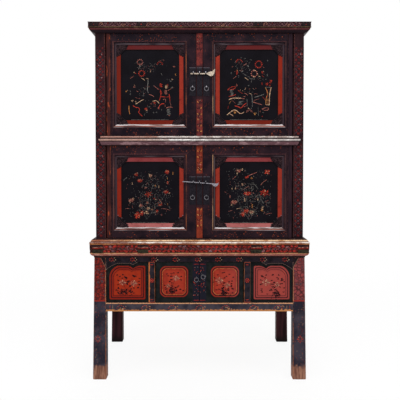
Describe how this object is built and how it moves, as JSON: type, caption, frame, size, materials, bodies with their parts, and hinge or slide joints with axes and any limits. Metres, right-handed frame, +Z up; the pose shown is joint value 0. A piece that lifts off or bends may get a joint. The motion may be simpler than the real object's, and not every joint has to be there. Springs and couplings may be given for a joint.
{
  "type": "cabinet on stand",
  "caption": "Two-tier lacquered wooden cabinet with framed pivot doors, iron lock bars and ring pulls, on a tall stand with a shallow two-door compartment.",
  "frame": {"origin": "middle of the bounding box on the floor", "axes": "+Z up, the doors face -Y, +X to the right of someone facing the doors"},
  "size_m": [1.106, 0.591, 1.795],
  "materials": {
    "lacquer_carcase": "aged plum-black lacquer",
    "carved_moulding": "worn carved mouldings, dark red and cream",
    "lacquer_door": "aged plum-black lacquer",
    "painted_panel": "black lacquer with painted ornament",
    "red_stile": "worn red lacquer",
    "bare_wood": "unfinished inside boards",
    "stand_lacquer": "blue-black lacquer, bare at the feet",
    "iron": "dark forged iron",
    "pale_metal": "pale worn alloy"
  },
  "bodies": {
    "cabinet": {"cornice_front": "carved_moulding", "cornice_left": "carved_moulding", "cornice_right": "carved_moulding", "top_panel": "lacquer_carcase", "post_front_left": "lacquer_carcase", "post_front_right": "lacquer_carcase", "post_back_left": "lacquer_carcase", "post_back_right": "lacquer_carcase", "belt_rail": "lacquer_carcase", "belt_moulding": "carved_moulding", "base_front": "carved_moulding", "base_left": "carved_moulding", "base_right": "carved_moulding", "cabinet_floor": "bare_wood", "carcase_rails": "lacquer_carcase", "side_panels_left": "lacquer_carcase", "side_panels_right": "lacquer_carcase", "back_panels": "lacquer_carcase", "tier_divider": "bare_wood", "shelves": "bare_wood", "centre_stile_upper": "red_stile", "centre_stile_lower": "red_stile", "centre_plates": "iron", "stand_top": "carved_moulding", "leg_front_left": "stand_lacquer", "leg_front_right": "stand_lacquer", "leg_back_left": "stand_lacquer", "leg_back_right": "stand_lacquer", "stand_front_rails": "stand_lacquer", "stand_side_rails": "stand_lacquer", "stand_back_rails": "stand_lacquer", "stand_posts": "stand_lacquer", "stand_aprons": "stand_lacquer", "stand_front_panels": "painted_panel", "stand_panels": "stand_lacquer", "compartment_floor": "bare_wood"},
    "door_upper_left": {"door_frame_upper_left": "lacquer_door", "door_panel_upper_left": "painted_panel", "lock_plate_upper_left": "iron"},
    "door_upper_right": {"door_frame_upper_right": "lacquer_door", "door_panel_upper_right": "painted_panel", "lock_plate_upper_right": "iron"},
    "ring_upper_left": {"ring_upper_left": "iron"},
    "ring_upper_right": {"ring_upper_right": "iron"},
    "lock_bar_upper": {"lock_bar_upper": "pale_metal"},
    "door_lower_left": {"door_frame_lower_left": "lacquer_door", "door_panel_lower_left": "painted_panel", "lock_plate_lower_left": "iron"},
    "door_lower_right": {"door_frame_lower_right": "lacquer_door", "door_panel_lower_right": "painted_panel", "lock_plate_lower_right": "iron"},
    "ring_lower_left": {"ring_lower_left": "iron"},
    "ring_lower_right": {"ring_lower_right": "iron"},
    "lock_bar_lower": {"lock_bar_lower": "iron"},
    "stand_door_left": {"stand_door_left": "painted_panel", "stand_staple_left": "iron"},
    "stand_door_right": {"stand_door_right": "painted_panel", "stand_staple_right": "iron"},
    "stand_ring_left": {"stand_ring_left": "iron"},
    "stand_ring_right": {"stand_ring_right": "iron"}
  },
  "joints": [
    {"name": "door_upper_left_pivot", "type": "hinge", "parent": "cabinet", "child": "door_upper_left", "pos_m": [-0.457, -0.253, 1.489], "axis": [0, 0, -1], "range_deg": [0, 100]},
    {"name": "door_upper_right_pivot", "type": "hinge", "parent": "cabinet", "child": "door_upper_right", "pos_m": [0.457, -0.253, 1.489], "axis": [0, 0, 1], "range_deg": [0, 100]},
    {"name": "ring_upper_left_swing", "type": "hinge", "parent": "door_upper_left", "child": "ring_upper_left", "pos_m": [-0.035, -0.2695, 1.479], "axis": [-1, 0, 0], "range_deg": [0, 85]},
    {"name": "ring_upper_right_swing", "type": "hinge", "parent": "door_upper_right", "child": "ring_upper_right", "pos_m": [0.035, -0.2695, 1.479], "axis": [-1, 0, 0], "range_deg": [0, 85]},
    {"name": "lock_bar_upper_draw", "type": "slide", "parent": "door_upper_right", "child": "lock_bar_upper", "axis": [1, 0, 0], "range_m": [0, 0.075]},
    {"name": "door_lower_left_pivot", "type": "hinge", "parent": "cabinet", "child": "door_lower_left", "pos_m": [-0.457, -0.253, 0.9525], "axis": [0, 0, -1], "range_deg": [0, 100]},
    {"name": "door_lower_right_pivot", "type": "hinge", "parent": "cabinet", "child": "door_lower_right", "pos_m": [0.457, -0.253, 0.9525], "axis": [0, 0, 1], "range_deg": [0, 100]},
    {"name": "ring_lower_left_swing", "type": "hinge", "parent": "door_lower_left", "child": "ring_lower_left", "pos_m": [-0.035, -0.2695, 0.934], "axis": [-1, 0, 0], "range_deg": [0, 85]},
    {"name": "ring_lower_right_swing", "type": "hinge", "parent": "door_lower_right", "child": "ring_lower_right", "pos_m": [0.035, -0.2695, 0.934], "axis": [-1, 0, 0], "range_deg": [0, 85]},
    {"name": "lock_bar_lower_draw", "type": "slide", "parent": "door_lower_right", "child": "lock_bar_lower", "axis": [0.9973, 0, -0.0732], "range_m": [0, 0.112]},
    {"name": "stand_door_left_pivot", "type": "hinge", "parent": "cabinet", "child": "stand_door_left", "pos_m": [-0.2145, -0.2605, 0.4955], "axis": [0, 0, -1], "range_deg": [0, 90]},
    {"name": "stand_door_right_pivot", "type": "hinge", "parent": "cabinet", "child": "stand_door_right", "pos_m": [0.2145, -0.2605, 0.4955], "axis": [0, 0, 1], "range_deg": [0, 90]},
    {"name": "stand_ring_left_swing", "type": "hinge", "parent": "stand_door_left", "child": "stand_ring_left", "pos_m": [-0.016, -0.273, 0.519], "axis": [-0.9976, 0, -0.0698], "range_deg": [0, 85]},
    {"name": "stand_ring_right_swing", "type": "hinge", "parent": "stand_door_right", "child": "stand_ring_right", "pos_m": [0.028, -0.273, 0.527], "axis": [-0.3746, 0, 0.9272], "range_deg": [0, 85]}
  ]
}
